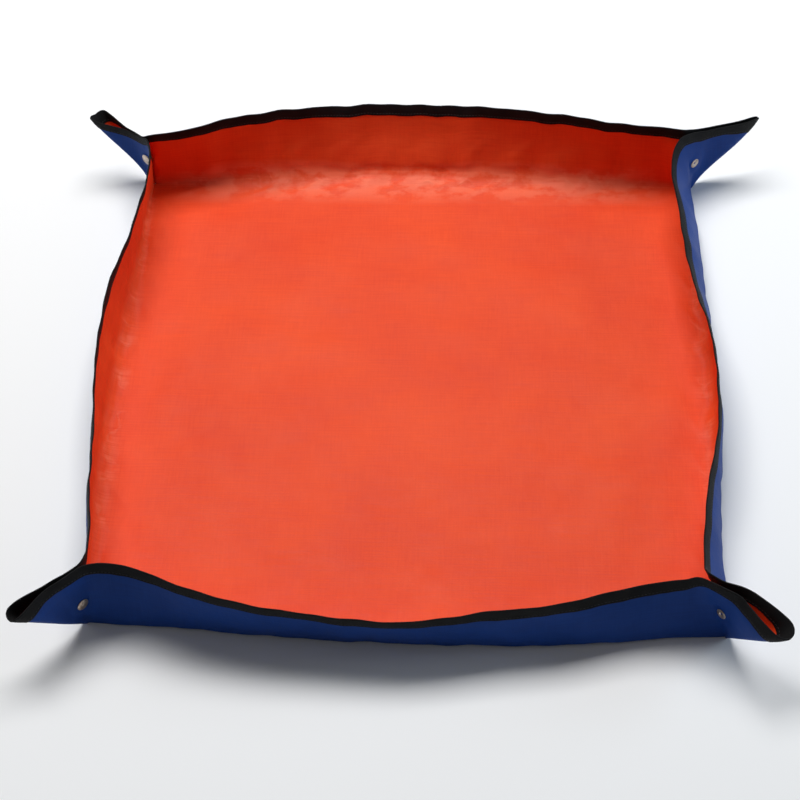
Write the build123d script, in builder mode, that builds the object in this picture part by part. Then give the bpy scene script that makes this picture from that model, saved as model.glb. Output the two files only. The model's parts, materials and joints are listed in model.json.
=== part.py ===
from build123d import *
import math
import os

# Square snap-corner tray, millimetres, +Z up, origin at the middle of the floor's underside.
# One square sheet of coated cloth is folded up along four sides. Each corner square folds in
# half along its diagonal into an ear, and a press stud holds the ear's two halves together.
# A flat panel stands for each area of the sheet between two folds.

# driving dimensions
mat_side = 750.0          # the sheet laid flat, tape included
wall_height = 83.0        # wall, from the underside of the floor to the top of the tape
sheet_thick = 0.6         # coated woven cloth
tape_thick = 0.5          # edge tape, folded over the sheet's edge
tape_width = 12.0         # height of the folded tape on each face
ear_angle = 48.0          # fold between a wall and its half of an ear, when the stud is closed
crease_setback = 3.0      # from the floor's corner back to the fold between wall and ear
panel_gap = 0.5           # from a fold line to the edge of a panel
tape_gap = 0.9            # from a fold line to the end of a tape
ridge_gap = 0.6           # from the ear's ridge fold to the edge of each half
ear_tip_radius = 9.0      # rounding at the ear's free corner
snap_height = 37.0        # stud centre above the floor's underside
snap_from_crease = 8.2    # stud centre out from the fold between wall and ear
cap_radius = 6.25         # 12.5 mm press-stud cap
ring_radius = 5.4         # eyelet on the other half of the stud

# sizes that follow
floor_side = mat_side - 2 * wall_height
fold_height = sheet_thick / 2
sheet_top = wall_height - fold_height - tape_thick
tape_top = wall_height - fold_height
half_wall = floor_side / 2 - crease_setback
outer_face = sheet_thick / 2
inner_face = -sheet_thick / 2

# press stud: radii, and heights and depths from the face of the cloth that each part sits on
post_radius = 1.6
post_hole_radius = 1.75
cap_height = 1.7
cap_rim = 0.5
cap_slope = 0.3
plate = 0.5
rivet_radius = 2.3
rivet_height = 0.3
socket_radius = 5.2
socket_cup_foot = 4.0
socket_cup_rim = 3.6
socket_shoulder = 0.3
socket_height = 3.0
socket_mouth = 2.35
socket_bore = 2.5
groove_radius = 2.8
groove_low = 1.95
groove_high = 2.65
spring_wire = 0.3
spring_radius = 2.2
spring_opening = 40.0
stud_flange_radius = 5.0
stud_flange = 0.6
stud_foot = 2.25
stud_foot_height = 1.0
stud_neck = 1.75
stud_head = 2.15
stud_head_low = 2.6
stud_height = 3.4
stud_slope = 0.25
barrel_outer = 1.3
barrel_inner = 1.0
barrel_length = 2.0
stud_bore = 1.35
stud_bore_depth = 2.3
ring_height = 0.8
ring_mouth = 2.4
ring_dish = 1.0

# each wall is the front wall turned about Z, and meets the next one at its right-hand end
wall_names = ["front", "right", "back", "left"]


def wall_axes(index):
    """Outward and along directions of a wall, seen from outside with along to the right."""
    turn = 90.0 * index
    outward = Vector(0, -1, 0).rotate(Axis.Z, turn)
    along = Vector(1, 0, 0).rotate(Axis.Z, turn)
    return outward, along


def wall_plane(index):
    """x along the wall, y up from its fold, z outward, with the origin mid-fold."""
    outward, along = wall_axes(index)
    origin = outward * (floor_side / 2) + Vector(0, 0, fold_height)
    return Plane(origin=origin, x_dir=along, z_dir=outward)


def ear_plane(index, end):
    """The half ear at a wall's end (+1 right, -1 left): origin at the foot of the crease, y up."""
    outward, along = wall_axes(index)
    lean = math.radians(ear_angle)
    crease = outward * (floor_side / 2) + along * (end * half_wall) + Vector(0, 0, fold_height)
    normal = outward * math.cos(lean) - along * (end * math.sin(lean))
    x_dir = along * math.cos(lean) + outward * (end * math.sin(lean))
    return Plane(origin=crease, x_dir=x_dir, z_dir=normal)


def snap_section(index, end):
    """Plane through a stud's axis: x is the radius, y the distance outward from mid-cloth."""
    face = ear_plane(index, end)
    height = snap_height - fold_height
    centre = face.origin + face.x_dir * (end * snap_from_crease) + face.y_dir * height
    return Plane(origin=centre, x_dir=face.x_dir, z_dir=-face.y_dir)


def stud_axis(section):
    return Axis(section.origin, section.y_dir)


def ear_outline(end, low, top, gap):
    """Corners of a half ear between the heights low and top, from the crease to the ridge."""
    ridge = crease_setback - ridge_gap * math.sqrt(2)
    return [
        (end * gap, low),
        (end * (ridge + low), low),
        (end * (ridge + top), top),
        (end * gap, top),
    ]


def free_corner(end, corners):
    """The corner of a half ear where its top edge meets the ridge."""
    top_corners = corners.group_by(Axis.Y)[-1]
    return top_corners.sort_by(Axis.X)[-1 if end > 0 else 0]


os.makedirs("parts", exist_ok=True)

# floor panel
with BuildPart() as floor_panel:
    with BuildSketch(Plane.XY):
        Rectangle(floor_side - 2 * panel_gap, floor_side - 2 * panel_gap)
    extrude(amount=sheet_thick)
floor_panel.part.label = "floor_panel"
export_step(floor_panel.part, "parts/floor_panel.step")

# walls, each with its edge tape
for index, wall_name in enumerate(wall_names):
    face = wall_plane(index)
    panel_height = sheet_top - panel_gap
    with BuildPart() as wall:
        with BuildSketch(face):
            with Locations((0, panel_gap + panel_height / 2)):
                Rectangle(2 * (half_wall - panel_gap), panel_height)
        extrude(amount=sheet_thick / 2, both=True)
    wall.part.label = f"wall_{wall_name}"
    export_step(wall.part, f"parts/wall_{wall_name}.step")

    with BuildPart() as wall_tape:
        with BuildSketch(face):
            with Locations((0, tape_top - tape_width / 2)):
                Rectangle(2 * (half_wall - tape_gap), tape_width)
        extrude(amount=sheet_thick / 2 + tape_thick, both=True)
        with BuildSketch(face):
            with Locations((0, sheet_top - tape_width / 2)):
                Rectangle(2 * half_wall, tape_width)
        extrude(amount=sheet_thick / 2, both=True, mode=Mode.SUBTRACT)
    wall_tape.part.label = f"edge_tape_wall_{wall_name}"
    export_step(wall_tape.part, f"parts/edge_tape_wall_{wall_name}.step")

# half ears, each with its edge tape
for index, wall_name in enumerate(wall_names):
    for end in (-1, 1):
        ear_name = f"{wall_name}_{wall_names[(index + end) % 4]}"
        face = ear_plane(index, end)
        with BuildPart() as ear:
            with BuildSketch(face):
                with BuildLine():
                    Polyline(*ear_outline(end, panel_gap, sheet_top, panel_gap), close=True)
                make_face()
                fillet(free_corner(end, vertices()), radius=ear_tip_radius)
                with Locations((end * snap_from_crease, snap_height - fold_height)):
                    Circle(post_hole_radius, mode=Mode.SUBTRACT)
            extrude(amount=sheet_thick / 2, both=True)
        ear.part.label = f"ear_{ear_name}"
        export_step(ear.part, f"parts/ear_{ear_name}.step")

        with BuildPart() as ear_tape:
            with BuildSketch(face):
                with BuildLine():
                    Polyline(*ear_outline(end, 0, tape_top, tape_gap), close=True)
                make_face()
                fillet(free_corner(end, vertices()), radius=ear_tip_radius)
                with Locations((0, tape_top - tape_width - mat_side / 2)):
                    Rectangle(mat_side, mat_side, mode=Mode.SUBTRACT)
            extrude(amount=sheet_thick / 2 + tape_thick, both=True)
            with BuildSketch(face):
                with BuildLine():
                    Polyline(*ear_outline(end, 0, sheet_top, 0), close=True)
                make_face()
                fillet(free_corner(end, vertices()), radius=ear_tip_radius)
            extrude(amount=sheet_thick / 2, both=True, mode=Mode.SUBTRACT)
        ear_tape.part.label = f"edge_tape_ear_{ear_name}"
        export_step(ear_tape.part, f"parts/edge_tape_ear_{ear_name}.step")

# press studs: cap, socket and ring spring on a wall's left-hand ear half,
# stud and eyelet on the facing half, which belongs to the wall before it
for index, wall_name in enumerate(wall_names):
    before = (index - 1) % 4
    pair = sorted((wall_name, wall_names[before]), key=["front", "back", "left", "right"].index)
    corner = "_".join(pair)
    cap_side = snap_section(index, -1)
    ring_side = snap_section(before, 1)

    with BuildPart() as snap_cap:
        with BuildSketch(cap_side):
            with BuildLine():
                low = inner_face - plate
                Line((0, low - rivet_height), (rivet_radius, low - rivet_height))
                Line((rivet_radius, low - rivet_height), (rivet_radius, low))
                Line((rivet_radius, low), (post_radius, low))
                Line((post_radius, low), (post_radius, outer_face))
                Line((post_radius, outer_face), (cap_radius - cap_rim, outer_face))
                ThreePointArc(
                    (cap_radius - cap_rim, outer_face),
                    (cap_radius, outer_face + cap_rim),
                    (cap_radius - cap_rim, outer_face + 2 * cap_rim),
                )
                Spline(
                    (cap_radius - cap_rim, outer_face + 2 * cap_rim),
                    (0, outer_face + cap_height),
                    tangents=((-1, cap_slope), (-1, 0)),
                )
                Line((0, outer_face + cap_height), (0, low - rivet_height))
            make_face()
        revolve(axis=stud_axis(cap_side))
    snap_cap.part.label = f"snap_cap_{corner}"
    export_step(snap_cap.part, f"parts/snap_cap_{corner}.step")

    with BuildPart() as snap_socket:
        with BuildSketch(cap_side):
            with BuildLine():
                Polyline(
                    (post_hole_radius, inner_face),
                    (socket_radius, inner_face),
                    (socket_radius, inner_face - plate),
                    (socket_cup_foot, inner_face - plate - socket_shoulder),
                    (socket_cup_rim, inner_face - socket_height),
                    (socket_mouth, inner_face - socket_height),
                    (socket_mouth, inner_face - groove_high),
                    (groove_radius, inner_face - groove_high),
                    (groove_radius, inner_face - groove_low),
                    (socket_bore, inner_face - groove_low),
                    (socket_bore, inner_face - plate),
                    (post_hole_radius, inner_face - plate),
                    close=True,
                )
            make_face()
        revolve(axis=stud_axis(cap_side))
    snap_socket.part.label = f"snap_socket_{corner}"
    export_step(snap_socket.part, f"parts/snap_socket_{corner}.step")

    with BuildPart() as snap_spring:
        with BuildSketch(cap_side):
            with Locations((spring_radius, inner_face - (groove_low + groove_high) / 2)):
                Circle(spring_wire)
        revolve(axis=stud_axis(cap_side), revolution_arc=360 - spring_opening)
    snap_spring.part.label = f"snap_spring_{corner}"
    export_step(snap_spring.part, f"parts/snap_spring_{corner}.step")

    with BuildPart() as snap_stud:
        with BuildSketch(ring_side):
            with BuildLine():
                Polyline(
                    (0, inner_face - stud_bore_depth),
                    (stud_bore, inner_face - stud_bore_depth),
                    (stud_bore, inner_face),
                    (stud_flange_radius, inner_face),
                    (stud_flange_radius, inner_face - stud_flange),
                    (stud_foot, inner_face - stud_flange),
                    (stud_neck, inner_face - stud_foot_height),
                    (stud_neck, inner_face - stud_head_low),
                    (stud_head, inner_face - stud_head_low - stud_slope),
                    (stud_head, inner_face - stud_height + stud_slope),
                    (stud_head - 2 * stud_slope, inner_face - stud_height),
                    (0, inner_face - stud_height),
                    close=True,
                )
            make_face()
        revolve(axis=stud_axis(ring_side))
    snap_stud.part.label = f"snap_stud_{corner}"
    export_step(snap_stud.part, f"parts/snap_stud_{corner}.step")

    with BuildPart() as snap_eyelet:
        with BuildSketch(ring_side):
            with BuildLine():
                rim = ring_height / 2
                Line((barrel_inner, inner_face - barrel_length), (barrel_outer, inner_face - barrel_length))
                Line((barrel_outer, inner_face - barrel_length), (barrel_outer, outer_face))
                Line((barrel_outer, outer_face), (ring_radius - rim, outer_face))
                ThreePointArc(
                    (ring_radius - rim, outer_face),
                    (ring_radius, outer_face + rim),
                    (ring_radius - rim, outer_face + ring_height),
                )
                throat = outer_face + ring_height - ring_dish
                Line((ring_radius - rim, outer_face + ring_height), (ring_mouth, outer_face + ring_height))
                Line((ring_mouth, outer_face + ring_height), (barrel_inner, throat))
                Line((barrel_inner, throat), (barrel_inner, inner_face - barrel_length))
            make_face()
        revolve(axis=stud_axis(ring_side))
    snap_eyelet.part.label = f"snap_eyelet_{corner}"
    export_step(snap_eyelet.part, f"parts/snap_eyelet_{corner}.step")
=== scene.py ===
import json
import math

import bpy
import numpy as np
from mathutils import Matrix, Vector


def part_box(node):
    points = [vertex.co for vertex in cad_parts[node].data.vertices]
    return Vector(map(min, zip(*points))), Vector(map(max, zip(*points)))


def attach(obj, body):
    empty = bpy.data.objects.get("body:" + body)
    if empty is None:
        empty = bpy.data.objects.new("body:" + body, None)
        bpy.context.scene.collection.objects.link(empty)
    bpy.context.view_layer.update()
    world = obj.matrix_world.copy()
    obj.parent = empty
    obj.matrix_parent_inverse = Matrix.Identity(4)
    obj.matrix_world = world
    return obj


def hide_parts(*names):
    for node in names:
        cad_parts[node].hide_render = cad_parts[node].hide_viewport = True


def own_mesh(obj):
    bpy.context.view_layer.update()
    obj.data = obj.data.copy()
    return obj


# A square two-colour mat folded up into a tray: red inside, blue outside, with black edge tape and
# press-stud corner ears. One formula per panel gives its middle surface, and the cloth, the tape
# and the stitches all follow that surface, so neighbouring pieces share their seams.
# Lengths are in metres. MM turns the sizes written in millimetres into metres.

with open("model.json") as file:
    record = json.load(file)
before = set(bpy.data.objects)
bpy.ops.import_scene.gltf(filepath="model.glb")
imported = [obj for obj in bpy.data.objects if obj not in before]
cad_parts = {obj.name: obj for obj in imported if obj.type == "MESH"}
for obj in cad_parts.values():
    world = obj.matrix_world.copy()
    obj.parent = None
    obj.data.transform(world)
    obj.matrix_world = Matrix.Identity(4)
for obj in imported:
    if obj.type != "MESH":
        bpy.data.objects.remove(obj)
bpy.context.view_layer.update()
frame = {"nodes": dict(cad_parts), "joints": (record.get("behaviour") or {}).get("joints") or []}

MM = 0.001
UP = np.array([0.0, 0.0, 1.0])

# ---- sizes from the frame -------------------------------------------------------------------
joints = {j["name"]: j for j in frame["joints"]}
WALLS = ["front", "right", "back", "left"]               # counterclockwise, seen from above
FOLD = -joints["wall_front_fold"]["pos_m"][1]            # middle of the floor to a fold line
FOLD_Z = joints["wall_front_fold"]["pos_m"][2]           # height of the cloth's middle at rest
CREASE = joints["ear_front_right_fold"]["pos_m"][0]      # middle of the floor to an ear's crease
EAR_ANGLE = math.radians(joints["ear_front_right_fold"]["range_deg"][1])
MOUTH = (FOLD - CREASE) / math.sqrt(2)                   # a crease from its corner's diagonal plane
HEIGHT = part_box("edge_tape_wall_front")[1].z
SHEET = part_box("floor_panel")[1].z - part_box("floor_panel")[0].z
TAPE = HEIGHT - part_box("wall_front")[1].z
TAPE_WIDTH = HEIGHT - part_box("edge_tape_wall_front")[0].z
EDGE_Z = HEIGHT - TAPE                                    # top edge of the cloth, inside the tape
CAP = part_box("snap_cap_front_left")
SNAP_Z = (CAP[0].z + CAP[1].z) / 2
SNAP_RUN = 8.2 * MM                                       # press stud's centre from the crease

# ---- how the soft tray stands ---------------------------------------------------------------
# Stations along each wall, seen from outside and read from left to right. Position along the
# wall, then how far the foot of the wall and its top stand outside the fold line, all in mm.
STATIONS = {
    "front": [(-292, 4, -4), (-276, 5, -10), (-199, 9, 12), (-163, 12, 22), (-76, 18, 34),
              (5, 21, 38), (84, 23, 25), (151, 22, 15), (192, 20, 2), (254, 11, -6), (276, 8, -4),
              (292, 5, 4)],
    "right": [(-292, 12, -13), (-272, 16, -13), (-215, 17, -10), (-155, 17, -2), (-111, 18, 7),
              (-67, 18, 10), (25, 19, 7), (75, 21, -2), (150, 20, -12), (205, 17, -16),
              (249, 10, -21.5), (274, 7, -18.5), (292, 5, -8)],
    "back": [(-292, 4, 9), (-250, 7, 13), (-217, 9, 16), (-132, 12, 35), (-60, 14, 49),
             (-5, 15, 55), (58, 14, 54), (134, 12, 39), (197, 9, 23), (257, 7, 2), (292, 4, -5)],
    "left": [(-292, 4, 5), (-271, 5, -3), (-228, 7, -6), (-193, 9, -2), (-122, 13, 8),
             (-81, 14, 17), (-35, 16, 20), (38, 18, 19), (114, 19, 11), (176, 17, 7), (201, 15, 4),
             (252, 10, -2), (280, 5, -1), (292, 4, 2)],
}
# In mm at mid-wall: the bend's radius, how far the fold line wavers, the height of the creases
# beside it, and extra cloth above it.
BEND = {"front": 6.5, "right": 16.0, "back": 24.0, "left": 18.0}
WAVER = {"front": 0.9, "right": 1.1, "back": 2.6, "left": 1.6}
CRUMPLE = {"front": 0.5, "right": 0.8, "back": 1.8, "left": 1.3}
TALLER = {"front": 0.0, "right": 0.0, "back": 8.0, "left": 0.0}
CORNER_BEND = 2.5 * MM                                   # bend radius at a wall's ends
SEAM_TURN = math.pi / 4                                  # turn of the bend where floor meets wall
LAP = 1.5 * MM                                           # opened walls lie this far on the floor
EASING = 34 * MM                                         # a wall's end meets its crease over this
SAVED = 0.22                                             # cloth saved by a bend, in its radii
BELLY = 2.0 * MM                                         # a wall stands out between foot and top
CREASES_START = 11 * MM                                  # the creases beside a fold are full here

# The floor's corners: how far each stands outside the front or back fold line, then outside the
# side one, in mm. A crease starts a little way along its wall from the corner.
FEET = {"front_left": (1, 5), "front_right": (6, 12), "back_right": (3, 4), "back_left": (2, 2)}
CREASE_START = 3.0 * MM

# Where each wall's crease reaches the top edge, as (outward, along) from the corner of the fold
# lines, and how wide the crease is rounded there, in mm. First the wall's left end and then its
# right end, seen from outside.
CREASE_TOP = {
    "front": ((-4, 3, 15), (1, -13, 13)),
    "right": ((-14, -6, 8), (-9, 0, 9)),
    "back": ((4, -4, 8), (-9, 0, 5)),
    "left": ((1, -10, 4), (2, -2, 8)),
}

# Each ear, in mm: reach along the diagonal, height of the tip, half width of its open mouth, how
# far it swings aside to the side wall between two reaches, how far its top edge curls over the
# same way, and how far that edge sags. Then shares of its length: where the mouth begins to open,
# where its rounded end begins, and how far the crease's own place is felt. Then the power its
# ridge rises with. Last, how much wider the tape's mitred corner is at the tip, as a share.
EARS = {
    "front_left": dict(reach=77.5, tip=72, mouth=7.5, swing=7, swings=(4, 70), curl=3, sag=-5,
                       opens=0.42, closing=0.88, settles=0.22, rise=1.0, mitre=0.55),
    "front_right": dict(reach=80, tip=69, mouth=10.5, swing=0, swings=(8, 75), curl=8, sag=0,
                        opens=0.0, closing=0.84, settles=0.36, rise=0.87, mitre=0.55),
    "back_right": dict(reach=83, tip=71, mouth=2.5, swing=24, swings=(12, 84), curl=0, sag=6,
                       opens=0.2, closing=0.80, settles=0.34, rise=1.35, mitre=0.6),
    "back_left": dict(reach=71, tip=75.5, mouth=9.5, swing=19, swings=(10, 72), curl=0, sag=12,
                      opens=0.45, closing=0.92, settles=0.8, rise=1.12, mitre=0.15),
}

# how far an ear's tip is rounded off, and where along its length the rounding begins
ROUND_OFF = 4.0 * MM
ROUND_START = 0.86
EDGE_POWER = 1.3                                         # power that an ear's edge rises with
MOUTH_POWER = 1.6                                        # power that its mouth widens upward with
CURL_BACK = 0.375                                        # share of the curl its foot leans back
# where the tape's mitre begins along an ear's edge, and over how much of it, as shares
MITRE_START = 0.55
MITRE_OVER = 0.4
STUD_FLAT = 15 * MM                                      # the cloth is flat this near a press stud
STUD_HOLD = 17 * MM                                      # and its crease isn't rounded this near
STUD_FADE = 8 * MM                                       # the stud's hold fades over this

# grid density
ALONG = 168
BEND_ROWS = 9
WALL_ROWS = 26
EAR_COLUMNS = 30
END_CROWDING = math.pi / 2 * 0.85                        # columns crowd towards a wall's ends
EASE_ROUNDS = 60                                         # of rounding the creases
EASE_SHARE = 0.5                                         # of the way to a smooth line, each round


def smooth(x):
    x = np.clip(x, 0.0, 1.0)
    return x * x * (3 - 2 * x)


def unit(v):
    return v / np.maximum(np.linalg.norm(v, axis=-1, keepdims=True), 1e-12)


def through(stations, column, x):
    """A smooth curve through one column of a wall's stations, read at x."""
    p = np.array([s[0] for s in stations], float) * MM
    v = np.array([s[column] for s in stations], float) * MM
    slope = np.gradient(v, p)
    i = np.clip(np.searchsorted(p, x) - 1, 0, len(p) - 2)
    gap = p[i + 1] - p[i]
    t = (x - p[i]) / gap
    rise = v[i] * (2 * t ** 3 - 3 * t ** 2 + 1) + v[i + 1] * (3 * t ** 2 - 2 * t ** 3)
    return rise + gap * (slope[i] * (t ** 3 - 2 * t ** 2 + t) + slope[i + 1] * (t ** 3 - t ** 2))


def waves(x, lengths, seed):
    """A repeatable wavering line: sines of the given wavelengths (mm), at most 1 in all."""
    total = 0.0
    for n, length in enumerate(lengths):
        total = total + np.sin(2 * math.pi * x / (length * MM) + seed * 1.7 + n * 2.4)
    return total / len(lengths)


def crumples(x, u, seed):
    """Creases near a fold line, 0 to 1 with sharp crests: x along it and u away from it."""
    lean = x + 0.9 * u + 7 * MM * np.sin(u / (9 * MM) + seed)
    return (1 - np.abs(waves(lean, (173, 101, 67), seed))) ** 2


def beside_fold(away, fading, over):
    """1 in a strip beside a fold line, fading out over the given distance (mm) past its width."""
    return smooth(away / CREASES_START) * (1 - smooth((away - fading * MM) / (over * MM)))


def wall_axes(k):
    """Outward and along directions of wall k, with along to the right seen from outside."""
    turn = math.pi / 2 * k
    outward = np.array([math.sin(turn), -math.cos(turn), 0.0]).round(9)
    along = np.array([math.cos(turn), math.sin(turn), 0.0]).round(9)
    return outward, along


def corner_name(k, end):
    pair = {WALLS[k % 4], WALLS[(k + end) % 4]}
    return "_".join(name for name in ("front", "back", "left", "right") if name in pair)


# ---- walls -----------------------------------------------------------------------------------
def foot_at(k, end):
    """(outward, along) of a floor corner from the corner of the fold lines, for wall k's end."""
    feet = np.array(FEET[corner_name(k, end)]) * MM
    return feet if k % 2 == 0 else feet[::-1]


def row_heights():
    """Heights of the grid's rows at a crease."""
    quarter = [math.pi / 2 * i / BEND_ROWS for i in range(BEND_ROWS + 1)]
    rows = [FOLD_Z + CORNER_BEND * (1 - math.cos(turn)) for turn in quarter]
    start = rows[-1]
    rows += [start + (EDGE_Z - start) * i / WALL_ROWS for i in range(1, WALL_ROWS + 1)]
    return np.array(rows)


def crease_line(k, end):
    """The crease between wall k and its half ear: through its foot, the press stud and the top."""
    outward, along = wall_axes(k)
    z = row_heights()
    top_out, top_along, _ = CREASE_TOP[WALLS[k]][0 if end < 0 else 1]
    foot = foot_at(k, end) - np.array([0.0, CREASE_START])
    stud = np.array([0.0, CREASE - FOLD])
    top = np.array([top_out, top_along]) * MM
    z0, z1, z2 = FOLD_Z, SNAP_Z, EDGE_Z
    a = ((z - z1) * (z - z2) / ((z0 - z1) * (z0 - z2)))[:, None]
    b = ((z - z0) * (z - z2) / ((z1 - z0) * (z1 - z2)))[:, None]
    c = ((z - z0) * (z - z1) / ((z2 - z0) * (z2 - z1)))[:, None]
    both = foot * a + stud * b + top * c
    return outward * (FOLD + both[:, :1]) + along * end * (FOLD + both[:, 1:]) + UP * z[:, None]


def wall_grid(k):
    """Middle surface of wall k, and how it meets the floor.

    Rows run from the floor up and columns along the wall. At mid-wall the first row lies part way
    round the bend, so that the opened wall comes down beside the floor's edge. The rest of the
    bend belongs to the floor. With the grid come the bend's radius and its turn at the first row.
    """
    name = WALLS[k]
    outward, along = wall_axes(k)
    spread = np.linspace(-1, 1, ALONG + 1)
    place = np.sin(spread * END_CROWDING) / math.sin(END_CROWDING) * FOLD
    hump = np.maximum(0, np.cos(math.pi / 2 * place / FOLD)) ** 0.8     # 1 at mid-wall, 0 at ends
    middle = np.clip(hump * 1.5, 0, 1)                                  # 1 except near the ends
    even = through(STATIONS[name], 1, place)
    base = even + WAVER[name] * MM * middle * waves(place, (83, 47, 31), k)
    top = through(STATIONS[name], 2, place) + 0.6 * MM * middle * waves(place, (61, 37), k + 5)
    bend = CORNER_BEND + (BEND[name] * MM - CORNER_BEND) * smooth(hump * 1.5)
    bend = bend * (1 + 0.22 * middle * waves(place, (97, 53), k + 9))
    first_turn = SEAM_TURN * smooth(hump * 1.6)
    # any wider, the opened wall would lie clear of the floor's edge
    lean = np.arccos((top - base) / (EDGE_Z - base))
    widest = (base - LAP) / (1 - np.cos(first_turn) + np.tan(lean / 2) - np.sin(first_turn))
    bend = np.minimum(bend, np.maximum(widest, CORNER_BEND))
    flap = EDGE_Z - even + SAVED * bend + TALLER[name] * MM * hump      # the cloth above the fold
    top_z = FOLD_Z + np.sqrt(flap ** 2 - (top - base) ** 2)
    angle = np.arctan2(top_z - FOLD_Z, top - base)
    tangent = bend * np.tan(angle / 2)
    rows = BEND_ROWS + WALL_ROWS + 1
    out = np.zeros((rows, len(place)))
    z = np.zeros_like(out)
    for i in range(BEND_ROWS + 1):
        turn = first_turn + (angle - first_turn) * i / BEND_ROWS
        out[i] = base - tangent + bend * np.sin(turn)
        z[i] = FOLD_Z + bend * (1 - np.cos(turn))
    start_out, start_z = out[BEND_ROWS].copy(), z[BEND_ROWS].copy()
    for i in range(1, WALL_ROWS + 1):
        share = i / WALL_ROWS
        belly = math.sin(math.pi * share)
        push = belly * middle * (BELLY + 1.2 * MM * waves(place, (120, 71), k + 2))
        row = BEND_ROWS + i
        out[row] = start_out + (top - start_out) * share + push
        z[row] = start_z + (top_z - start_z) * share
    # creases stand up on the inside, near the fold line
    step = np.hypot(np.diff(out, axis=0), np.diff(z, axis=0))
    u = np.concatenate([np.zeros((1, len(place))), np.cumsum(step, axis=0)])
    turn = first_turn + (angle - first_turn) * np.clip(np.arange(rows) / BEND_ROWS, 0, 1)[:, None]
    stand = CRUMPLE[name] * MM * middle * beside_fold(u, 14, 32) * crumples(place, u, k)
    out = out - stand * np.sin(turn)
    z = z + stand * np.cos(turn)
    grid = outward * (FOLD + out[..., None]) + along * place[:, None] + UP * z[..., None]
    # the ends are drawn onto the creases
    for end, column in ((-1, 0), (1, -1)):
        crease = crease_line(k, end)
        shift = crease - grid[:, column]
        away = np.abs(place - place[column])
        weight = (1 - smooth(away / EASING))[None, :, None]
        grid = grid + shift[:, None] * weight
    return grid, bend, first_turn


# ---- ears ------------------------------------------------------------------------------------
def corner_axes(k, end):
    """Corner of the fold lines, its diagonal, and the level way out from wall k's half ear."""
    outward, along = wall_axes(k)
    corner = (outward + along * end) * FOLD
    diagonal = (outward + along * end) / math.sqrt(2)
    apart = (outward - along * end) / math.sqrt(2)
    return corner, diagonal, apart


def swing_at(ear, d, share):
    """How far the ear's middle stands aside, d along the diagonal and at a share of its height."""
    start, stop = ear["swings"]
    aside = ear["swing"] * smooth((d / MM - start) / (stop - start))
    curl = ear["curl"] * (share ** 6 - CURL_BACK) * smooth(d / (30 * MM))
    return -(aside + curl) * MM


def ear_grid(k, end, crease):
    """Middle surface of the half ear at one end of wall k, from its crease to the ridge."""
    corner, diagonal, apart = corner_axes(k, end)
    side = 1 if k % 2 == 0 else -1                         # swing is towards the side walls
    ear = EARS[corner_name(k, end)]
    start = crease - corner
    d0, y0, z0 = start @ diagonal, start @ apart, start[:, 2]
    share = ((z0 - z0[0]) / (z0[-1] - z0[0]))[:, None]
    foot_out, foot_along = foot_at(k, end)
    foot_d = (foot_out + foot_along) / math.sqrt(2)
    foot_y = (foot_out - foot_along) / math.sqrt(2)
    ridge_d = foot_d + (ear["reach"] * MM - foot_d) * share
    ridge_z = FOLD_Z + (ear["tip"] * MM - FOLD_Z) * share ** ear["rise"]
    a = np.sin(math.pi / 2 * np.linspace(0, 1, EAR_COLUMNS + 1))[None, :]
    close = np.clip((a - ear["closing"]) / (1 - ear["closing"]), 0, 1)
    d = d0[:, None] + (ridge_d - d0[:, None]) * a
    z = z0[:, None] + (ridge_z - z0[:, None]) * a ** EDGE_POWER
    # the mat's corner is rounded, so the edge turns down to the ridge at the tip
    round_off = np.clip((a - ROUND_START) / (1 - ROUND_START), 0, 1)
    drop = ROUND_OFF * share ** 4 * (1 - np.sqrt(1 - round_off ** 2))
    z = z - drop * 0.9 - ear["sag"] * MM * share ** 3 * np.sin(math.pi * a ** 0.7)
    d = d - drop * 0.5
    opening = smooth((a - ear["opens"]) / (ear["closing"] - ear["opens"]))
    wide = MOUTH + (ear["mouth"] * MM - MOUTH) * share ** MOUTH_POWER * opening
    wide = wide * np.sqrt(1 - close ** 2)
    middle = swing_at(ear, d, share) * side + foot_y * (1 - share) ** 3
    # the crease's own place fades out along the ear
    middle = middle + (y0[:, None] - wide[:, :1] - middle[:, :1]) * (1 - smooth(a / ear["settles"]))
    # the press stud holds the cloth flat round itself
    p = d + (FOLD - CREASE) / math.sqrt(2)
    flat = MOUTH + p * math.tan(EAR_ANGLE - math.pi / 4)
    near = smooth((STUD_FLAT - np.hypot(p - SNAP_RUN, z - SNAP_Z)) / (STUD_FLAT / 2))
    near[:, 0] = 0
    y = (wide + middle) * (1 - near) + flat * near
    y[:, 0] = y0
    return corner + diagonal * d[..., None] + apart * y[..., None] + UP * z[..., None]


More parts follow.
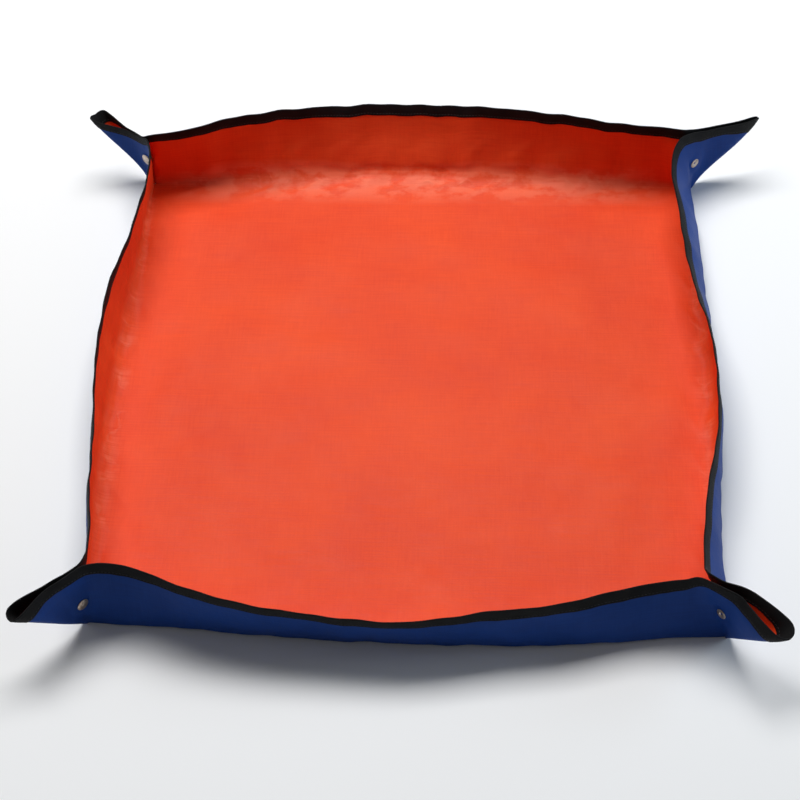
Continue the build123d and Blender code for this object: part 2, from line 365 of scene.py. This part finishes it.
def ease_creases(wall, ears, widths):
    """Rounds the creases between a wall and its two half ears, except at the press studs."""
    left, right = ears
    count = left.shape[1] - 1
    line = np.concatenate([left[:, :0:-1], wall, right[:, 1:]], axis=1)
    z = line[:, :, 2]
    gap = np.linalg.norm(np.diff(line, axis=1), axis=2)
    run = np.concatenate([np.zeros((len(line), 1)), np.cumsum(gap, axis=1)], axis=1)
    weight = np.zeros(run.shape)
    for column, side, width in ((count, -1, widths[0]), (line.shape[1] - 1 - count, 1, widths[1])):
        away = (run - run[:, column][:, None]) * side       # positive on the ear
        reach = (width * np.clip(z / EDGE_Z, 0, 1) + 0.5) * MM
        bell = np.exp(-(away / reach) ** 2)
        from_stud = np.hypot(away - SNAP_RUN, z - SNAP_Z)
        held = smooth((STUD_HOLD - from_stud) / STUD_FADE) * (away > -4 * MM)
        weight = np.maximum(weight, bell * (1 - held))
    weight = weight[:, 1:-1, None]
    for _ in range(EASE_ROUNDS):
        before, after = gap[:, :-1, None], gap[:, 1:, None]
        mean = (line[:, :-2] * after + line[:, 2:] * before) / (before + after)
        line[:, 1:-1] += EASE_SHARE * weight * (mean - line[:, 1:-1])
        gap = np.linalg.norm(np.diff(line, axis=1), axis=2)
    wall[:] = line[:, count:line.shape[1] - count]
    left[:] = line[:, count::-1]
    right[:] = line[:, line.shape[1] - 1 - count:]


def normals_of(grid, outside):
    """Unit normals of a grid, on the side that outside points to."""
    n = unit(np.cross(np.gradient(grid, axis=1), np.gradient(grid, axis=0)))
    return n if (n * outside).sum() > 0 else -n


# ---- meshes ----------------------------------------------------------------------------------
def make_object(name, verts, faces, materials, face_slots, uvs, sharp):
    mesh = bpy.data.meshes.new(name)
    mesh.from_pydata(np.asarray(verts).tolist(), [], [list(map(int, f)) for f in faces])
    for material in materials:
        mesh.materials.append(material)
    mesh.polygons.foreach_set("material_index", np.array(face_slots, np.int32))
    mesh.polygons.foreach_set("use_smooth", np.ones(len(mesh.polygons), bool))
    layer = mesh.uv_layers.new(name="flat")
    loops = np.zeros(len(mesh.loops), np.int32)
    mesh.loops.foreach_get("vertex_index", loops)
    layer.data.foreach_set("uv", np.asarray(uvs, np.float32)[loops].ravel())
    mesh.set_sharp_from_angle(angle=math.radians(sharp))
    mesh.update()
    obj = bpy.data.objects.new(name, mesh)
    bpy.context.scene.collection.objects.link(obj)
    return obj


def cloth_object(name, grid, normal, flat, materials):
    """A closed sheet: the grid offset both ways along its normals, and a rim round its edge."""
    rows, columns = grid.shape[:2]
    count = rows * columns
    half = normal * SHEET / 2
    verts = np.concatenate([(grid - half).reshape(-1, 3), (grid + half).reshape(-1, 3)])
    index = np.arange(count).reshape(rows, columns)
    quads = np.stack([index[:-1, :-1], index[:-1, 1:], index[1:, 1:], index[1:, :-1]], 2)
    quads = quads.reshape(-1, 4)
    ring = np.concatenate([index[0, :], index[1:, -1], index[-1, -2::-1], index[-2:0:-1, 0]])
    onward = np.roll(ring, -1)
    rim = np.stack([onward, ring, ring + count, onward + count], 1)
    mid = (rows // 2, columns // 2)
    u = grid[mid[0], mid[1] + 1] - grid[mid]
    v = grid[mid[0] + 1, mid[1]] - grid[mid]
    if np.cross(u, v) @ normal[mid] < 0:
        quads = quads[:, ::-1]
        rim = rim[:, ::-1]
    faces = np.concatenate([quads[:, ::-1], quads + count, rim[:, ::-1]])
    slots = [0] * len(quads) + [1] * len(quads) + [0] * len(rim)
    uvs = np.tile(flat.reshape(-1, 2), (2, 1))
    return make_object(name, verts, faces, materials, slots, uvs, sharp=55)


def below_edge(grid, normal, distances, widen):
    """Points and normals at distances down from the top edge, measured along each column.

    The distances are multiplied by widen, one number or one for each column.
    """
    widen = np.broadcast_to(widen, grid.shape[1])
    top_down, normals = grid[::-1], normal[::-1]
    step = np.linalg.norm(np.diff(top_down, axis=0), axis=2)
    run = np.concatenate([np.zeros((1, grid.shape[1])), np.cumsum(step, axis=0)])
    points = np.zeros((len(distances), grid.shape[1], 3))
    facing = np.zeros_like(points)
    for c in range(grid.shape[1]):
        for i in range(3):
            points[:, c, i] = np.interp(distances * widen[c], run[:, c], top_down[:, c, i])
            facing[:, c, i] = np.interp(distances * widen[c], run[:, c], normals[:, c, i])
    return points, unit(facing)


# The tape's leg, for a 12 mm tape: distance down from the edge in mm, and thickness there as a
# share of the tape's. The dip is the stitch line, which pulls the tape in.
LEG = [(0, 1.0), (1.2, 1.1), (3.0, 1.2), (5.0, 1.2), (7.0, 1.12), (8.4, 1.0), (9.2, 0.8),
       (9.6, 0.62), (10.0, 0.8), (10.8, 0.98), (11.5, 0.9), (12.0, 0.45)]
LEG_SCALE = TAPE_WIDTH / LEG[-1][0]
STITCH_LINE = 9.6 * LEG_SCALE                            # down from the tape's edge
STITCH_PITCH = 3.4 * MM
STITCH_LENGTH = 2.5 * MM
STITCH_RADIUS = 0.27 * MM
STITCH_SINK = 0.25 * MM                                  # its ends dip this far into the tape
# Rings of a stitch: place along it as a share of its length, and radius as a share of the thread's.
STITCH_RINGS = [(-0.38, 0.8), (0.0, 1.0), (0.38, 0.8)]
THREAD_SIDES = 6
FOLD_STEPS = 6                                           # steps round the fold of the tape
INNER_GAP = 0.02 * MM                                    # between the cloth and the tape
TAPE_WAVER = 0.35 * MM                                   # of its lower edge
# distances for measuring the tape's direction down a panel, and a stitch's along it
DOWN_PROBE = 0.5 * MM
ALONG_PROBE = 0.4 * MM


def tape_object(name, grid, normal, run, widen, material):
    """Binding tape folded over the top edge: two legs and a rounded fold, as one closed strip."""
    distances = np.array([down for down, _ in LEG]) * LEG_SCALE
    shares = [thick for _, thick in LEG]
    points, facing = below_edge(grid, normal, distances, widen)
    # the lower edge isn't quite straight
    waver = TAPE_WAVER * waves(run, (39, 23, 14), len(name))
    further, _ = below_edge(grid, normal, distances + DOWN_PROBE, widen)
    slide = (waver / DOWN_PROBE)[None, :, None] * (distances / TAPE_WIDTH)[:, None, None]
    points = points + (further - points) * slide
    up = unit(grid[-1] - grid[-2])
    edge, edge_normal = points[0], facing[0]
    outer, inner = [], []
    inside = SHEET / 2 + INNER_GAP
    for i in range(len(LEG) - 1, 0, -1):
        outer.append(points[i] + facing[i] * (SHEET / 2 + TAPE * shares[i]))
        inner.append(points[i] + facing[i] * inside)
    for i in range(FOLD_STEPS + 1):
        turn = math.pi * i / FOLD_STEPS
        direction = edge_normal * math.cos(turn) + up * math.sin(turn)
        outer.append(edge + direction * (SHEET / 2 + TAPE))
        inner.append(edge + direction * inside)
    for i in range(1, len(LEG)):
        outer.append(points[i] - facing[i] * (SHEET / 2 + TAPE * shares[i]))
        inner.append(points[i] - facing[i] * inside)
    loop = np.stack(outer + inner[::-1])                     # section points by columns
    n, columns = loop.shape[:2]
    half = n // 2
    verts = loop.reshape(-1, 3)
    index = np.arange(n * columns).reshape(n, columns)
    nxt = np.roll(index, -1, axis=0)
    sides = np.stack([index[:, :-1], index[:, 1:], nxt[:, 1:], nxt[:, :-1]], 2).reshape(-1, 4)
    caps = []
    for i in range(half - 1):
        j = n - 1 - i
        caps.append([index[i, 0], index[i + 1, 0], index[j - 1, 0], index[j, 0]])
        caps.append([index[i, -1], index[j, -1], index[j - 1, -1], index[i + 1, -1]])
    faces = np.concatenate([sides, np.array(caps)])
    # faces look outward: check one near the middle of the outer leg's lower end
    a, b, _, d = sides[2 * (columns - 1) + columns // 2]
    if np.cross(verts[b] - verts[a], verts[d] - verts[a]) @ normal[-1, columns // 2] < 0:
        faces = faces[:, ::-1]
    across = np.zeros(n)
    step = np.linalg.norm(np.diff(loop[:half, columns // 2], axis=0), axis=1)
    across[1:half] = np.cumsum(step)
    across[half:] = across[:half][::-1]
    uv = np.stack(np.broadcast_arrays(run[None, :], across[:, None]), 2).reshape(-1, 2)
    return make_object(name, verts, faces, [material], [0] * len(faces), uv, sharp=40)


def thread_object(name, grid, normal, widen, material):
    """A row of short stitches on each face of the tape, near its lower edge."""
    points, facing = below_edge(grid, normal, np.array([STITCH_LINE]), widen)
    points, facing = points[0], facing[0]
    gap = np.linalg.norm(np.diff(points, axis=0), axis=1)
    run = np.concatenate([[0], np.cumsum(gap)])
    number = max(1, int(run[-1] / STITCH_PITCH))
    centres = (np.arange(number) + 0.5) * run[-1] / number

    def at(values, s):
        return np.array([np.interp(s, run, values[:, i]) for i in range(3)])

    verts, faces = [], []
    for face in (-1, 1):
        for s in centres:
            n = unit(at(facing, s)) * face
            t = unit(at(points, s + ALONG_PROBE) - at(points, s - ALONG_PROBE))
            b = np.cross(n, t)
            middle = at(points, s) + n * (SHEET / 2 + TAPE * 0.85)
            first = len(verts)
            verts.append(middle - t * STITCH_LENGTH / 2 - n * STITCH_SINK)
            for share, radius in STITCH_RINGS:
                centre = middle + t * share * STITCH_LENGTH - n * STITCH_SINK * (2 * share) ** 2
                for i in range(THREAD_SIDES):
                    turn = 2 * math.pi * i / THREAD_SIDES
                    away = n * math.sin(turn) + b * math.cos(turn)
                    verts.append(centre + away * radius * STITCH_RADIUS)
            last = len(verts)
            verts.append(middle + t * STITCH_LENGTH / 2 - n * STITCH_SINK)
            for i in range(THREAD_SIDES):
                j = (i + 1) % THREAD_SIDES
                faces.append([first, first + 1 + j, first + 1 + i])
                for ring in range(len(STITCH_RINGS) - 1):
                    low = first + 1 + ring * THREAD_SIDES
                    high = low + THREAD_SIDES
                    faces.append([low + i, low + j, high + j, high + i])
                high = last - THREAD_SIDES
                faces.append([high + i, high + j, last])
    no_uvs = np.zeros((len(verts), 2))
    return make_object(name, verts, faces, [material], [0] * len(faces), no_uvs, sharp=80)


# ---- materials -------------------------------------------------------------------------------
class Tree:
    """A material's node tree, with short ways to add and join nodes."""

    def __init__(self, name):
        self.material = bpy.data.materials.new(name)
        self.material.use_nodes = True
        self.nodes = self.material.node_tree.nodes
        self.links = self.material.node_tree.links
        self.nodes.clear()
        out = self.nodes.new("ShaderNodeOutputMaterial")
        self.shader = self.nodes.new("ShaderNodeBsdfPrincipled")
        self.links.new(self.shader.outputs["BSDF"], out.inputs["Surface"])

    def put(self, socket, value):
        if isinstance(value, bpy.types.NodeSocket):
            self.links.new(value, socket)
        else:
            socket.default_value = value

    def node(self, kind, inputs=(), out=0, **settings):
        node = self.nodes.new(kind)
        for key, value in settings.items():
            setattr(node, key, value)
        for key, value in dict(inputs).items():
            self.put(node.inputs[key], value)
        return node.outputs[out]

    def math(self, operation, a, b=0.0, c=0.0):
        return self.node("ShaderNodeMath", {0: a, 1: b, 2: c}, operation=operation)

    def noise(self, vector, scale, detail=2.0, roughness=0.5):
        values = {"Vector": vector, "Scale": scale, "Detail": detail, "Roughness": roughness}
        return self.node("ShaderNodeTexNoise", values)

    def stretch(self, vector, scale):
        return self.node("ShaderNodeMapping", {"Vector": vector, "Scale": scale})

    def mix(self, share, a, b):
        return self.node("ShaderNodeMix", {0: share, 6: a, 7: b}, out=2, data_type="RGBA")

    def between(self, value, low, high, to_low=0.0, to_high=1.0):
        values = {"Value": value, "From Min": low, "From Max": high,
                  "To Min": to_low, "To Max": to_high}
        return self.node("ShaderNodeMapRange", values)

    def bump(self, height, strength, distance, normal=None):
        values = {"Height": height, "Strength": strength, "Distance": distance}
        if normal is not None:
            values["Normal"] = normal
        return self.node("ShaderNodeBump", values)

    def shade(self, **values):
        for key, value in values.items():
            self.put(self.shader.inputs[key.replace("_", " ")], value)
        return self.material


def coated_cloth(name, colour, deep, scuff_and_sheen, rough, wear_and_sheen_gain, shine):
    """Glossy cloth of flat plastic yarns under a clear coat: a woven relief, slubs along the yarns,
    cloudy blotches, scuffs where the mat has been folded, lightened also as a painted highlight on
    the bends, and a painted highlight in rounded patches along the back fold."""
    t = Tree(name)
    uv = t.node("ShaderNodeUVMap", uv_map="flat")
    split = t.nodes.new("ShaderNodeSeparateXYZ")
    t.links.new(uv, split.inputs[0])
    x, y = split.outputs[0], split.outputs[1]
    yarn = 1.25 * MM
    wobble = t.noise(uv, 60.0, 2.0)
    shift = t.math("MULTIPLY", wobble, 0.9 * MM)
    rows = t.math("SINE", t.math("MULTIPLY", t.math("ADD", y, shift), 2 * math.pi / yarn))
    cols = t.math("SINE", t.math("MULTIPLY", t.math("ADD", x, shift), 2 * math.pi / yarn))
    weave = t.math("MULTIPLY", rows, cols)
    slub = t.noise(t.stretch(uv, (22.0, 520.0, 1.0)), 1.0, 3.0, 0.6)
    slub_up = t.noise(t.stretch(uv, (560.0, 30.0, 1.0)), 1.0, 3.0, 0.6)
    cloud = t.noise(uv, 7.0, 4.0, 0.62)
    patch = t.noise(uv, 26.0, 5.0, 0.6)
    # distance from the square of fold lines
    square = t.math("MAXIMUM", t.math("ABSOLUTE", x), t.math("ABSOLUTE", y))
    from_fold = t.math("SUBTRACT", square, FOLD + 6 * MM)
    band = t.between(t.math("ABSOLUTE", from_fold), 13 * MM, 2 * MM)
    crinkle = t.math("ABSOLUTE", t.math("SUBTRACT", t.noise(uv, 17.0, 3.0, 0.55), 0.5))
    line = t.math("MULTIPLY", t.between(crinkle, 0.03, 0.0), band)
    # the fold band is lightened: partly scuffs, partly a painted highlight of the bends
    wear_and_sheen = t.math("MULTIPLY", band, t.between(patch, 0.42, 0.70, 0.0, 0.45))
    wear_and_sheen = t.math("ADD", wear_and_sheen, t.math("MULTIPLY", line, 0.35))
    wear_and_sheen = t.math("MULTIPLY", wear_and_sheen, t.between(slub, 0.30, 0.62))
    # a painted highlight in rounded patches along the back fold, added to the scuffs
    inner = t.between(y, FOLD - 30 * MM, FOLD - 8 * MM)
    outer = t.between(y, FOLD + 30 * MM, FOLD + 16 * MM)
    ends = t.between(t.math("ABSOLUTE", x), FOLD - 10 * MM, FOLD - 70 * MM)
    sheen_lobes = t.noise(t.stretch(uv, (1.0, 1.5, 1.0)), 24.0, 4.0, 0.6)
    sheen_lobes = t.between(sheen_lobes, 0.44, 0.53, 0.2, 1.0)
    back = t.math("MULTIPLY", t.math("MULTIPLY", inner, outer), ends)
    back = t.math("MULTIPLY", back, t.math("MULTIPLY", sheen_lobes, 0.55))
    wear_and_sheen = t.math("MAXIMUM", wear_and_sheen, t.math("ADD", t.math("MULTIPLY", wear_and_sheen, 0.6), back))
    wear_and_sheen = t.math("MULTIPLY", wear_and_sheen, wear_and_sheen_gain)
    tone = t.math("ADD", t.math("MULTIPLY", cloud, 0.95), t.math("MULTIPLY", slub, 0.55))
    tone = t.math("ADD", tone, t.math("MULTIPLY", slub_up, 0.35))
    tone = t.between(tone, 0.62, 1.25)
    base = t.mix(tone, (*deep, 1), (*colour, 1))
    # the folds take the scuffed colour, which also paints their highlight
    base = t.mix(wear_and_sheen, base, (*scuff_and_sheen, 1))
    uneven = t.math("ADD", slub, t.math("MULTIPLY", patch, 0.6))
    gloss = t.between(uneven, 0.5, 1.1, rough - 0.07, rough + 0.10)
    relief = t.math("ADD", t.math("MULTIPLY", weave, 0.34), t.math("MULTIPLY", slub, 1.3))
    relief = t.math("ADD", relief, t.math("MULTIPLY", slub_up, 0.9))
    fine = t.bump(relief, 0.32, 0.28 * MM)
    cast = t.math("ADD", t.noise(uv, 30.0, 4.0, 0.55), t.math("MULTIPLY", line, 0.5))
    normal = t.bump(cast, 0.35, 1.6 * MM, fine)
    return t.shade(Base_Color=base, Roughness=gloss, Normal=normal, Specular_IOR_Level=shine)


def tape_material():
    """Black polyester binding tape with fine cross ribs."""
    t = Tree("edge_tape_black")
    uv = t.node("ShaderNodeUVMap", uv_map="flat")
    split = t.nodes.new("ShaderNodeSeparateXYZ")
    t.links.new(uv, split.inputs[0])
    rib = t.math("SINE", t.math("MULTIPLY", split.outputs[0], 2 * math.pi / (0.9 * MM)))
    warp = t.math("SINE", t.math("MULTIPLY", split.outputs[1], 2 * math.pi / (0.7 * MM)))
    fuzz = t.noise(uv, 1400.0, 3.0, 0.7)
    wear = t.noise(uv, 60.0, 4.0, 0.6)
    base = t.mix(t.between(wear, 0.35, 0.75), (0.003, 0.003, 0.0035, 1), (0.009, 0.0085, 0.009, 1))
    height = t.math("ADD", t.math("MULTIPLY", rib, 0.5), t.math("MULTIPLY", warp, 0.25))
    height = t.math("ADD", height, t.math("MULTIPLY", fuzz, 0.5))
    return t.shade(Base_Color=base, Roughness=t.between(fuzz, 0.3, 0.7, 0.62, 0.85),
                   Normal=t.bump(height, 0.5, 0.2 * MM), Specular_IOR_Level=0.18)


def thread_material():
    """Black twisted sewing thread."""
    t = Tree("thread_black")
    where = t.node("ShaderNodeTexCoord", out=3)
    strand = t.noise(where, 2600.0, 2.0)
    base = t.mix(strand, (0.008, 0.008, 0.009, 1), (0.035, 0.034, 0.036, 1))
    return t.shade(Base_Color=base, Roughness=0.55, Normal=t.bump(strand, 0.5, 0.1 * MM))


def metal_material(name, colour, tarnish, rough):
    """Plated press-stud metal, scuffed and a little tarnished."""
    t = Tree(name)
    where = t.node("ShaderNodeTexCoord", out=3)
    scuff = t.noise(where, 900.0, 5.0, 0.6)
    cloud = t.noise(where, 240.0, 3.0, 0.6)
    base = t.mix(t.between(cloud, 0.35, 0.7), (*tarnish, 1), (*colour, 1))
    gloss = t.between(scuff, 0.3, 0.7, rough - 0.08, rough + 0.16)
    return t.shade(Base_Color=base, Roughness=gloss, Normal=t.bump(scuff, 0.2, 0.05 * MM),
                   Metallic=1.0)


# the scuffed colours lighten the folds: partly scuffs, partly painted highlight
RED = coated_cloth("cloth_red", colour=(0.88, 0.086, 0.016), deep=(0.72, 0.046, 0.010),
                   scuff_and_sheen=(0.95, 0.25, 0.14), rough=0.50, wear_and_sheen_gain=0.75, shine=0.18)
BLUE = coated_cloth("cloth_blue", colour=(0.012, 0.054, 0.265), deep=(0.008, 0.036, 0.184),
                    scuff_and_sheen=(0.06, 0.11, 0.36), rough=0.50, wear_and_sheen_gain=0.35, shine=0.08)
BLACK = tape_material()
THREAD = thread_material()
NICKEL = metal_material("snap_nickel", (0.70, 0.61, 0.53), (0.42, 0.31, 0.24), 0.32)
WIRE = metal_material("spring_steel", (0.60, 0.58, 0.55), (0.35, 0.33, 0.30), 0.30)

# ---- middle surfaces -------------------------------------------------------------------------
walls, bends, first_turns = zip(*[wall_grid(k) for k in range(4)])
ears = {}
for k in range(4):
    for end, column in ((-1, 0), (1, -1)):
        ears[k, end] = ear_grid(k, end, walls[k][:, column])
    ease_creases(walls[k], (ears[k, -1], ears[k, 1]), [top[2] for top in CREASE_TOP[WALLS[k]]])

wall_normals = []
ear_normals = {}
for k in range(4):
    outward, _ = wall_axes(k)
    facing = normals_of(walls[k], outward)
    turn = first_turns[k][:, None]
    facing[0] = outward * np.sin(turn) - UP * np.cos(turn)
    wall_normals.append(facing)
for k in range(4):
    for end, column in ((-1, 0), (1, -1)):
        _, diagonal, apart = corner_axes(k, end)
        grid = ears[k, end]
        facing = normals_of(grid, apart)
        seam = unit(facing[:, 0] + wall_normals[k][:, column])
        facing[:, 0] = seam
        wall_normals[k][:, column] = seam
        # at the ridge both halves look straight out along the diagonal
        ridge = unit(np.gradient(grid[:, -1], axis=0))
        level = apart * (1 if k % 2 == 0 else -1)
        out = unit(np.cross(ridge, level))
        out = out if (out @ diagonal).sum() > 0 else -out
        facing[:, -1] = out
        ear_normals[k, end] = facing


def wall_flat(k):
    """Flat-mat coordinates of wall k's grid."""
    outward, along = wall_axes(k)
    grid = walls[k]
    step = np.linalg.norm(np.diff(grid, axis=0), axis=2)
    rise = np.concatenate([np.zeros((1, grid.shape[1])), np.cumsum(step, axis=0)])
    out = (grid[0] @ outward)[None, :] + rise
    side = np.broadcast_to((grid[0] @ along)[None, :], out.shape)
    return out[..., None] * outward[:2] + side[..., None] * along[:2]


def ear_flat(k, end):
    """Flat-mat coordinates of a half ear's grid, carried on from its wall's."""
    _, along = wall_axes(k)
    grid = ears[k, end]
    step = np.linalg.norm(np.diff(grid, axis=1), axis=2)
    run = np.concatenate([np.zeros((grid.shape[0], 1)), np.cumsum(step, axis=1)], axis=1)
    start = wall_flat(k)[:, 0 if end < 0 else -1]
    return start[:, None] + run[..., None] * end * along[:2]


def floor_grid():
    """The floor, whose edge runs through the first row of every wall and the feet of the ears."""
    sides = []
    for k in range(4):
        sides.append(np.concatenate([[ears[k, -1][0, -1]], walls[k][0], [ears[k, 1][0, -1]]]))
    front, right, back, left = sides[0], sides[1], sides[2][::-1], sides[3][::-1]
    s = ((front[:, 0] - front[0, 0]) / (front[-1, 0] - front[0, 0]))[None, :, None]
    t = np.swapaxes(s, 0, 1)
    grid = (front[None] * (1 - t) + back[None] * t + left[:, None] * (1 - s) + right[:, None] * s
            - front[0] * (1 - s) * (1 - t) - front[-1] * s * (1 - t)
            - back[0] * (1 - s) * t - back[-1] * s * t)
    # slight lift where the cloth doesn't lie quite flat, none at the edge
    x, y = grid[..., 0], grid[..., 1]
    inside = np.minimum(np.minimum(s, 1 - s), np.minimum(t, 1 - t))[..., 0] * 2 * FOLD
    swell = waves(x + 0.3 * y, (310, 170), 1) * waves(y - 0.2 * x, (260, 140), 2)
    swell = swell + 0.5 * waves(0.8 * x - y, (120, 90), 3) * waves(x + 0.6 * y, (150, 80), 4)
    lift = np.maximum(0, 0.35 + swell) * 1.6 * MM * smooth((inside - 4 * MM) / (50 * MM))
    # creases beside each fold line, fading out at the corners, and the floor's part of the bends
    across, down = s[..., 0] * 2 * FOLD + 0 * x, t[..., 0] * 2 * FOLD + 0 * x
    distances = [down, 2 * FOLD - across, 2 * FOLD - down, across]
    for k, name in enumerate(WALLS):
        away = distances[k]
        ends = np.minimum(distances[k - 1], distances[(k + 1) % 4])
        near = beside_fold(away, 12, 30) * smooth(ends / (60 * MM))
        outward, along = wall_axes(k)
        place = x * along[0] + y * along[1]
        lift = lift + CRUMPLE[name] * MM * near * crumples(place, -away, k)
        first = walls[k][0]
        edge = np.interp(place, first @ along, first @ outward)
        radius = np.interp(place, first @ along, bends[k])
        turn = np.interp(place, first @ along, first_turns[k])
        inward = edge - x * outward[0] - y * outward[1]
        climb = np.clip(radius * np.sin(turn) - inward, 0, radius)
        lift = lift + radius - np.sqrt(radius ** 2 - climb ** 2)
    grid[..., 2] = FOLD_Z + lift
    grid[0], grid[-1], grid[:, 0], grid[:, -1] = front, back, left, right
    return grid


# ---- pieces ----------------------------------------------------------------------------------
def dress(body, grid, facing, flat, run, widen):
    """Cloth, tape and stitches of one panel, all riding its body."""
    made = {
        "cloth": cloth_object(f"cloth_{body}", grid, facing, flat, [RED, BLUE]),
        "tape": tape_object(f"tape_{body}", grid, facing, run, widen, BLACK),
        "thread": thread_object(f"thread_{body}", grid, facing, widen, THREAD),
    }
    for kind, piece in made.items():
        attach(piece, body)
    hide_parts(body)
    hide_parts(f"edge_tape_{body}")
    return made


floor = floor_grid()
floor_normals = normals_of(floor, -UP)
front_edge, back_edge = floor_normals[0], floor_normals[-1, ::-1]
right_edge, left_edge = floor_normals[:, -1], floor_normals[::-1, 0]
for k, edge in enumerate((front_edge, right_edge, back_edge, left_edge)):
    edge[1:-1] = wall_normals[k][0]
    edge[0] = edge[-1] = -UP
floor_piece = cloth_object("cloth_floor", floor, floor_normals, floor[..., :2], [RED, BLUE])
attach(floor_piece, "floor")
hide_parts("floor_panel")
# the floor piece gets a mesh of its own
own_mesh(floor_piece)

for k, name in enumerate(WALLS):
    outward, along = wall_axes(k)
    body = f"wall_{name}"
    run = walls[k][-1] @ along
    made = dress(body, walls[k], wall_normals[k], wall_flat(k), run, 1.0)
    for piece in made.values():
        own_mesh(piece)
    for end in (-1, 1):
        body = f"ear_{name}_{WALLS[(k + end) % 4]}"
        grid = ears[k, end]
        gap = np.linalg.norm(np.diff(grid[-1], axis=0), axis=1)
        reach = np.concatenate([[0], np.cumsum(gap)])
        run = end * (CREASE + reach)
        # the tape's mitred corner covers more of the tip
        mitre = EARS[corner_name(k, end)]["mitre"]
        widen = 1 + mitre * smooth((reach / gap.sum() - MITRE_START) / MITRE_OVER)
        made = dress(body, grid, ear_normals[k, end], ear_flat(k, end), run, widen)
        for piece in made.values():
            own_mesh(piece)

for name, obj in frame["nodes"].items():
    if name.startswith("snap_"):
        obj.data.materials.clear()
        obj.data.materials.append(WIRE if "spring" in name else NICKEL)

# ---- camera ----------------------------------------------------------------------------------
AZIMUTH = math.radians(3.64)
ELEVATION = math.radians(49.72)
ROLL = math.radians(-2.14)
DISTANCE = 2.306
AIM = np.array([-0.011, -0.015, 0.0])
FOCAL_MM = 102.4

level_out = np.array([math.sin(AZIMUTH), -math.cos(AZIMUTH), 0.0])
behind = level_out * math.cos(ELEVATION) + UP * math.sin(ELEVATION)
level = unit(np.cross(-behind, UP))
upright = np.cross(level, -behind)
camera_x = math.cos(ROLL) * level + math.sin(ROLL) * upright
camera_y = math.cos(ROLL) * upright - math.sin(ROLL) * level
place = AIM + behind * DISTANCE
camera_data = bpy.data.cameras.new("camera")
camera_data.lens = FOCAL_MM
camera_data.sensor_width = 36.0
camera = bpy.data.objects.new("camera", camera_data)
columns = np.stack([camera_x, camera_y, behind, place], 1)
camera.matrix_world = Matrix(columns.tolist() + [[0, 0, 0, 1]])
bpy.context.scene.collection.objects.link(camera)
bpy.context.scene.camera = camera

# ---- stage and light -------------------------------------------------------------------------
def area_light(name, place, size, power, colour):
    """A rectangular light that faces the middle of the floor."""
    data = bpy.data.lights.new(name, "AREA")
    data.shape = "RECTANGLE"
    data.size, data.size_y = size
    data.energy = power
    data.color = colour
    light = bpy.data.objects.new(name, data)
    light.location = place
    light.rotation_euler = (-Vector(place)).to_track_quat("-Z", "Y").to_euler()
    bpy.context.scene.collection.objects.link(light)


STAGE = 8.0                                              # half its side
stage_corners = [(x * STAGE, y * STAGE, 0) for x, y in ((-1, -1), (1, -1), (1, 1), (-1, 1))]
stage_mesh = bpy.data.meshes.new("stage_floor")
stage_mesh.from_pydata(stage_corners, [], [(0, 1, 2, 3)])
stage_floor = bpy.data.objects.new("stage_floor", stage_mesh)
stage = Tree("stage_pale")
pale = stage.shade(Base_Color=(0.93, 0.93, 0.93, 1), Roughness=0.95, Specular_IOR_Level=0.1)
stage_mesh.materials.append(pale)
bpy.context.scene.collection.objects.link(stage_floor)

area_light("key", (-0.3, 1.1, 2.5), (2.2, 1.2), 78, (1.0, 1.0, 1.0))
area_light("fill_right", (2.6, 0.5, 0.9), (1.5, 1.0), 23, (0.64, 0.82, 1.0))
area_light("fill_left", (-2.6, 0.3, 0.9), (1.5, 1.0), 5, (0.94, 0.97, 1.0))
bpy.context.scene.view_settings.view_transform = "Standard"
world = bpy.data.worlds.new("world")
world.use_nodes = True
background = world.node_tree.nodes["Background"]
background.inputs["Color"].default_value = (1, 1, 1, 1)
background.inputs["Strength"].default_value = 0.12
bpy.context.scene.world = world
